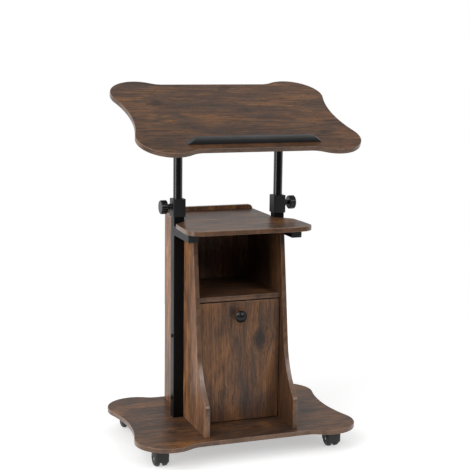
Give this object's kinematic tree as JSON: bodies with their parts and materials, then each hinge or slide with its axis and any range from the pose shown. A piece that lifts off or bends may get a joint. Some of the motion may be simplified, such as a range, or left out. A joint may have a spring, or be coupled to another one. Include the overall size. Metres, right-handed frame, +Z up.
{
  "type": "rolling lectern",
  "caption": "Mobile lectern with a tilting bone-shaped top and stop bar on sliding posts, a mid shelf, open cubby and drop-front cabinet between flared panels, on swivel casters.",
  "frame": {"origin": "on the floor under the middle of the base board", "axes": "+X to the user's right, +Y away from the user towards the back panel, +Z up"},
  "size_m": [0.5998, 0.4348, 0.952],
  "materials": {
    "laminate_level": "satin rustic brown wood laminate, grain along X",
    "laminate_upright": "satin rustic brown wood laminate, grain along Z",
    "black_steel": "satin black powder coat",
    "black_plastic": "fine-textured black",
    "caster_tread": "smooth black, lightly worn",
    "zinc_steel": "bright zinc plate",
    "catch_plastic": "brown moulded plastic",
    "dowel_wood": "plain beech"
  },
  "bodies": {
    "stand": {"base_board": "laminate_level", "base_screws": "zinc_steel", "back_panel": "laminate_upright", "back_panel_screws": "zinc_steel", "cabinet_shelf": "laminate_level", "shelf_dowels": "dowel_wood", "mid_shelf": "laminate_level", "shelf_screws": "zinc_steel", "arm_end_caps": "black_plastic", "upright_bolts": "black_steel", "hinge_bushes": "black_plastic", "magnet_catch": "catch_plastic", "caster_plates": "zinc_steel", "caster_screws": "zinc_steel", "side_panel_left": "laminate_upright", "side_panel_right": "laminate_upright", "upright_left": "black_steel", "upright_right": "black_steel", "arm_left": "black_steel", "arm_right": "black_steel", "clamp_sleeve_left": "black_plastic", "clamp_sleeve_right": "black_plastic"},
    "mast": {"post_guides": "black_plastic", "tilt_pivot_bolts": "zinc_steel", "post_left": "black_steel", "post_right": "black_steel", "post_head_left": "black_steel", "post_head_right": "black_steel"},
    "desk": {"tabletop": "laminate_level", "stop_bar": "black_plastic", "stop_bar_screws": "zinc_steel", "bracket_screws": "zinc_steel", "tilt_bracket_left": "black_steel", "tilt_bracket_right": "black_steel"},
    "door": {"door": "laminate_upright", "door_knob": "black_plastic", "door_knob_screw": "zinc_steel", "door_hinge_pins": "zinc_steel", "strike_plate": "zinc_steel"},
    "clamp_knob_left": {"clamp_knob_left": "black_plastic", "clamp_stud_left": "zinc_steel"},
    "tilt_knob_left": {"tilt_knob_left": "black_plastic", "tilt_stud_left": "zinc_steel"},
    "clamp_knob_right": {"clamp_knob_right": "black_plastic", "clamp_stud_right": "zinc_steel"},
    "tilt_knob_right": {"tilt_knob_right": "black_plastic", "tilt_stud_right": "zinc_steel"},
    "caster_front_left": {"caster_hood_front_left": "black_plastic"},
    "wheels_front_left": {"caster_wheels_front_left": "caster_tread", "caster_axle_front_left": "zinc_steel"},
    "caster_front_right": {"caster_hood_front_right": "black_plastic"},
    "wheels_front_right": {"caster_wheels_front_right": "caster_tread", "caster_axle_front_right": "zinc_steel"},
    "caster_rear_left": {"caster_hood_rear_left": "black_plastic"},
    "wheels_rear_left": {"caster_wheels_rear_left": "caster_tread", "caster_axle_rear_left": "zinc_steel"},
    "caster_rear_right": {"caster_hood_rear_right": "black_plastic"},
    "wheels_rear_right": {"caster_wheels_rear_right": "caster_tread", "caster_axle_rear_right": "zinc_steel"}
  },
  "joints": [
    {"name": "height", "type": "slide", "parent": "stand", "child": "mast", "axis": [0, 0, 1], "range_m": [-0.12, 0.12]},
    {"name": "tilt", "type": "hinge", "parent": "mast", "child": "desk", "pos_m": [0, 0.0241, 0.8456], "axis": [1, 0, 0], "range_deg": [-21.3, 13.7]},
    {"name": "door_hinge", "type": "hinge", "parent": "stand", "child": "door", "pos_m": [0, -0.0655, 0.077], "axis": [1, 0, 0], "range_deg": [0, 90]},
    {"name": "clamp_turn_left", "type": "hinge", "parent": "stand", "child": "clamp_knob_left", "pos_m": [-0.16, 0.0241, 0.6352], "axis": [-1, 0, 0], "range_deg": [0, 360]},
    {"name": "tilt_knob_turn_left", "type": "hinge", "parent": "mast", "child": "tilt_knob_left", "pos_m": [-0.16, 0.0241, 0.8156], "axis": [-1, 0, 0], "range_deg": [0, 360]},
    {"name": "clamp_turn_right", "type": "hinge", "parent": "stand", "child": "clamp_knob_right", "pos_m": [0.16, 0.0241, 0.6352], "axis": [1, 0, 0], "range_deg": [0, 360]},
    {"name": "tilt_knob_turn_right", "type": "hinge", "parent": "mast", "child": "tilt_knob_right", "pos_m": [0.16, 0.0241, 0.8156], "axis": [1, 0, 0], "range_deg": [0, 360]},
    {"name": "swivel_front_left", "type": "hinge", "parent": "stand", "child": "caster_front_left", "pos_m": [-0.238, -0.157, 0.045], "axis": [0, 0, 1], "continuous": true},
    {"name": "roll_front_left", "type": "hinge", "parent": "caster_front_left", "child": "wheels_front_left", "pos_m": [-0.238, -0.145, 0.02], "axis": [1, 0, 0], "continuous": true},
    {"name": "swivel_front_right", "type": "hinge", "parent": "stand", "child": "caster_front_right", "pos_m": [0.238, -0.157, 0.045], "axis": [0, 0, 1], "continuous": true},
    {"name": "roll_front_right", "type": "hinge", "parent": "caster_front_right", "child": "wheels_front_right", "pos_m": [0.238, -0.145, 0.02], "axis": [1, 0, 0], "continuous": true},
    {"name": "swivel_rear_left", "type": "hinge", "parent": "stand", "child": "caster_rear_left", "pos_m": [-0.238, 0.157, 0.045], "axis": [0, 0, 1], "continuous": true},
    {"name": "roll_rear_left", "type": "hinge", "parent": "caster_rear_left", "child": "wheels_rear_left", "pos_m": [-0.238, 0.169, 0.02], "axis": [1, 0, 0], "continuous": true},
    {"name": "swivel_rear_right", "type": "hinge", "parent": "stand", "child": "caster_rear_right", "pos_m": [0.238, 0.157, 0.045], "axis": [0, 0, 1], "continuous": true},
    {"name": "roll_rear_right", "type": "hinge", "parent": "caster_rear_right", "child": "wheels_rear_right", "pos_m": [0.238, 0.169, 0.02], "axis": [1, 0, 0], "continuous": true}
  ]
}
